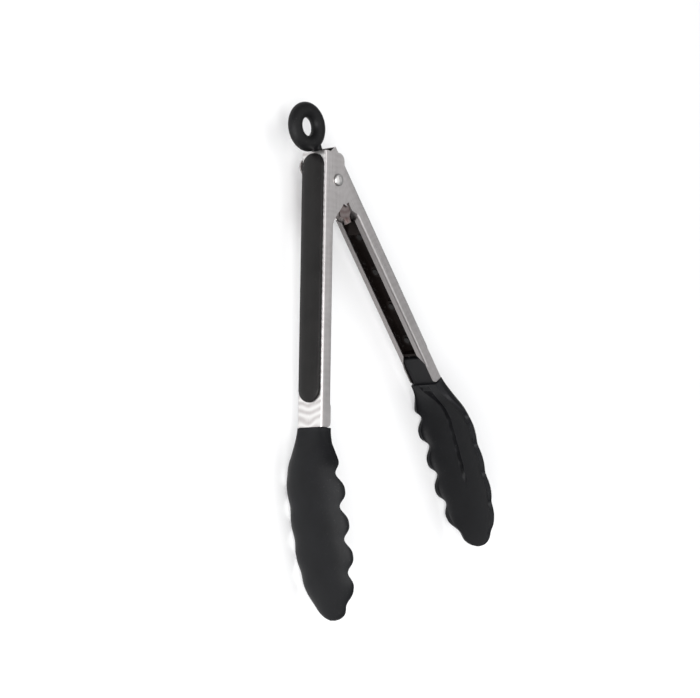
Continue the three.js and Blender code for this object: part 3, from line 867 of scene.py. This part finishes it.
def steel(name, turn, dark, light, rough, length=14.0, fineness=1100.0, inward=0.0):
    """Brushed stainless steel, its grain along the piece; a channel says which way is inward, and its
    inward faces get painted shade.
    """
    material, nodes, shader = new_material(name)
    vector = place_vector(nodes, turn)
    grain = use_group(nodes, BRUSHED_GRAIN, vector, length=length, fineness=fineness)
    wear = use_group(nodes, EDGE_WEAR, vector, breakup=500.0)
    shade_mask = map_range(nodes, grain.outputs["Scratches"], 0.3, 0.7, 0.0, 1.0)
    patches = map_range(nodes, grain.outputs["Patches"], 0.35, 0.65, 0.0, 0.45)
    together = math_node(nodes, "MULTIPLY_ADD", shade_mask, 0.4)
    nodes.link(patches, together.node.inputs[2])
    colour = blend_colours(nodes, together, dark, light)
    bright = blend_colours(nodes, wear.outputs["Mask"], colour, [c * EDGE_SHINE for c in light])
    faces = use_group(nodes, CHANNEL_FACES, place_vector(nodes, turn, "Normal"), inward=inward)
    # Lighter wavy bands, at full strength on the flat outer web and faint on the other faces.
    strength = map_range(nodes, faces.outputs["Web"], 0.0, 1.0, 0.12, 1.0)
    rippled = math_node(nodes, "MULTIPLY", grain.outputs["Waves"], strength)
    banded = blend_colours(nodes, rippled, bright, LIGHT_BAND_STEEL)
    # Inward faces are darkened towards the dark steel colour: painted shade for the shaded inside of the
    # channel and its lips.
    inside_shade = math_node(nodes, "MULTIPLY", faces.outputs["Inside"], INSIDE_SHADE_SHARE)
    nodes.link(blend_colours(nodes, inside_shade, banded, INSIDE_SHADE_STEEL), shader.inputs["Base Color"])
    roughness = map_range(nodes, grain.outputs["Scratches"], 0.3, 0.7, rough - 0.03, rough + 0.04)
    nodes.link(roughness, shader.inputs["Roughness"])
    shader.inputs["Metallic"].default_value = 1.0
    bump(nodes, shader, grain.outputs["Scratches"], SCRATCH_STRENGTH, SCRATCH_DEPTH)
    return material


def moulded(name, dark, light, rough, gloss, dust):
    """Moulded rubber, silicone or nylon with a fine pebble, mottle, dust and lighter worn edges."""
    material, nodes, shader = new_material(name)
    vector = place_vector(nodes)
    skin = use_group(nodes, MOULDED_SKIN, vector)
    wear = use_group(nodes, EDGE_WEAR, vector, breakup=300.0)
    mottle = map_range(nodes, skin.outputs["Mottle"], 0.3, 0.7, 0.0, 1.0)
    colour = blend_colours(nodes, mottle, dark, light)
    worn_mask = math_node(nodes, "MULTIPLY", wear.outputs["Mask"], WORN_SHARE)
    edged = blend_colours(nodes, worn_mask, colour, [c * WORN_LIFT for c in light])
    dust_mask = math_node(nodes, "MULTIPLY", skin.outputs["Dust"], dust)
    dusty = blend_colours(nodes, dust_mask, edged, DUST_GREY)
    nodes.link(dusty, shader.inputs["Base Color"])
    roughness = map_range(nodes, skin.outputs["Mottle"], 0.3, 0.7, rough - 0.05, rough + 0.05)
    nodes.link(roughness, shader.inputs["Roughness"])
    shader.inputs["Specular IOR Level"].default_value = gloss
    bump(nodes, shader, skin.outputs["Height"], PEBBLE_STRENGTH, PEBBLE_HEIGHT)
    return material


FINISHES = {
    "front_arm_steel": steel(
        "Front arm steel", HALF_OPEN, STEEL_DARK, STEEL_LIGHT, 0.30, inward=1.0),
    "rear_arm_steel": steel(
        "Rear arm steel", -HALF_OPEN, STEEL_DARK, STEEL_LIGHT, 0.30, inward=-1.0),
    "rivet_steel": steel(
        "Rivet steel", 0.0, (0.44, 0.43, 0.42), (0.58, 0.57, 0.56), 0.38, *SMALL_PIECE_GRAIN),
    # The spring steel's dark pinkish brown is painted shade with a painted pinkish reflection, for the
    # shaded inside of the hinge.
    "spring_steel": steel(
        "Spring steel", 0.0, (0.10, 0.074, 0.07), (0.19, 0.15, 0.145), 0.36, *SMALL_PIECE_GRAIN),
    "grip_rubber": moulded(
        "Grip rubber", (0.0050, 0.0046, 0.0045), (0.0085, 0.0078, 0.0077), 0.38, 0.17, 0.2),
    "carrier_nylon": moulded(
        "Carrier nylon", (0.004, 0.0028, 0.0025), (0.008, 0.0056, 0.005), 0.45, 0.08, 0.5),
    "core_nylon": moulded(
        "Core nylon", (0.005, 0.005, 0.0056), (0.009, 0.009, 0.0098), 0.45, 0.14, 0.5),
    "head_silicone": moulded(
        "Head silicone", (0.0036, 0.0037, 0.0043), (0.0058, 0.0060, 0.0070), 0.44, 0.13, 0.2),
    "ring_plastic": moulded(
        "Ring plastic", (0.0050, 0.0050, 0.0053), (0.0085, 0.0085, 0.0090), 0.46, 0.13, 0.15),
}


def dress(piece, finish):
    piece.data.materials.clear()
    piece.data.materials.append(FINISHES[finish])


# --- assembly -----------------------------------------------------------------------------
def fit(piece, place, node, finish):
    """Lays a finished piece, dresses it, and hides the imported part that it stands for."""
    lay(piece, place)
    dress(piece, finish)
    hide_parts(node)
    return piece


ARM_PIECES = (
    (make_channel, "channel", "arm_steel"),
    (make_pad, "grip_pad", "grip_rubber"),
    (make_carrier, "grip_carrier", "carrier_nylon"),
    (make_tang, "head_core", "core_nylon"),
    (make_sleeve, "head_sleeve", "head_silicone"),
)

for maker, part, slot_name in ARM_PIECES:
    pattern = maker()
    for arm, place in ARMS.items():
        piece = copy_of(pattern, f"{arm}_{part}_shaped")
        finish = f"{arm}_arm_steel" if slot_name == "arm_steel" else slot_name
        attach(fit(piece, place, f"{arm}_{part}", finish), f"{arm}_arm")
    bpy.data.objects.remove(pattern)

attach(fit(make_rivet(), ON_PIN, "hinge_rivet", "rivet_steel"), "front_arm")
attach(fit(make_ring(), ON_LOCK, "pull_ring", "ring_plastic"), "lock_slide")

spring = fit(make_spring(), ON_PIN, "torsion_spring", "spring_steel")
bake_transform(spring)

# The lock bracket wears the spring steel, with its painted shade.
for node, finish in (("lock_bracket", "spring_steel"), ("spring_bush", "carrier_nylon")):
    cad_piece = frame["nodes"][node]
    for material_slot in cad_piece.material_slots:
        material_slot.material = FINISHES[finish]


# --- floor and light ----------------------------------------------------------------------
def make_floor():
    deselect()
    bpy.ops.mesh.primitive_plane_add(size=FLOOR_SIZE, location=(0, 0, FLOOR_HEIGHT))
    floor = bpy.context.active_object
    floor.name = "Studio floor"
    material, nodes, shader = new_material("Pale floor")
    vector = place_vector(nodes)
    cloud = nodes.add("ShaderNodeTexNoise", scale=3.0, detail=2.0)
    nodes.link(vector, cloud.inputs["Vector"])
    colour = blend_colours(nodes, cloud.outputs["Fac"], (0.90, 0.90, 0.90), (0.93, 0.93, 0.93))
    nodes.link(colour, shader.inputs["Base Color"])
    shader.inputs["Roughness"].default_value = 0.85
    floor.data.materials.append(material)


def make_light(name, place, target, size, power):
    deselect()
    bpy.ops.object.light_add(type="AREA", location=place)
    light = bpy.context.active_object
    light.name = name
    light.rotation_euler = (Vector(target) - Vector(place)).to_track_quat("-Z", "Y").to_euler()
    light.data.shape = "RECTANGLE"
    light.data.size, light.data.size_y = size
    light.data.energy = power


def make_world():
    world = bpy.data.worlds.new("Studio")
    bpy.context.scene.world = world
    world.use_nodes = True
    sky = world.node_tree.nodes["Background"]
    sky.inputs["Color"].default_value = (0.96, 0.97, 1.0, 1)
    sky.inputs["Strength"].default_value = 0.25


bpy.context.scene.view_settings.view_transform = "Standard"
make_floor()
make_world()
make_light("Key softbox", (-1.5, -0.1, 1.3), (0, 0, 0.02), (1.5, 1.5), 46)
make_light("Low softbox", (-1.5, -0.1, 0.22), (0, 0, 0.02), (1.2, 0.3), 9)
make_light("Overhead softbox", (0.3, 0.2, 2.2), (0, 0, 0), (2.4, 2.4), 28)
make_light("Fill softbox", (1.6, 0.1, 1.35), (0, 0, 0.02), (1.4, 1.4), 1.4)
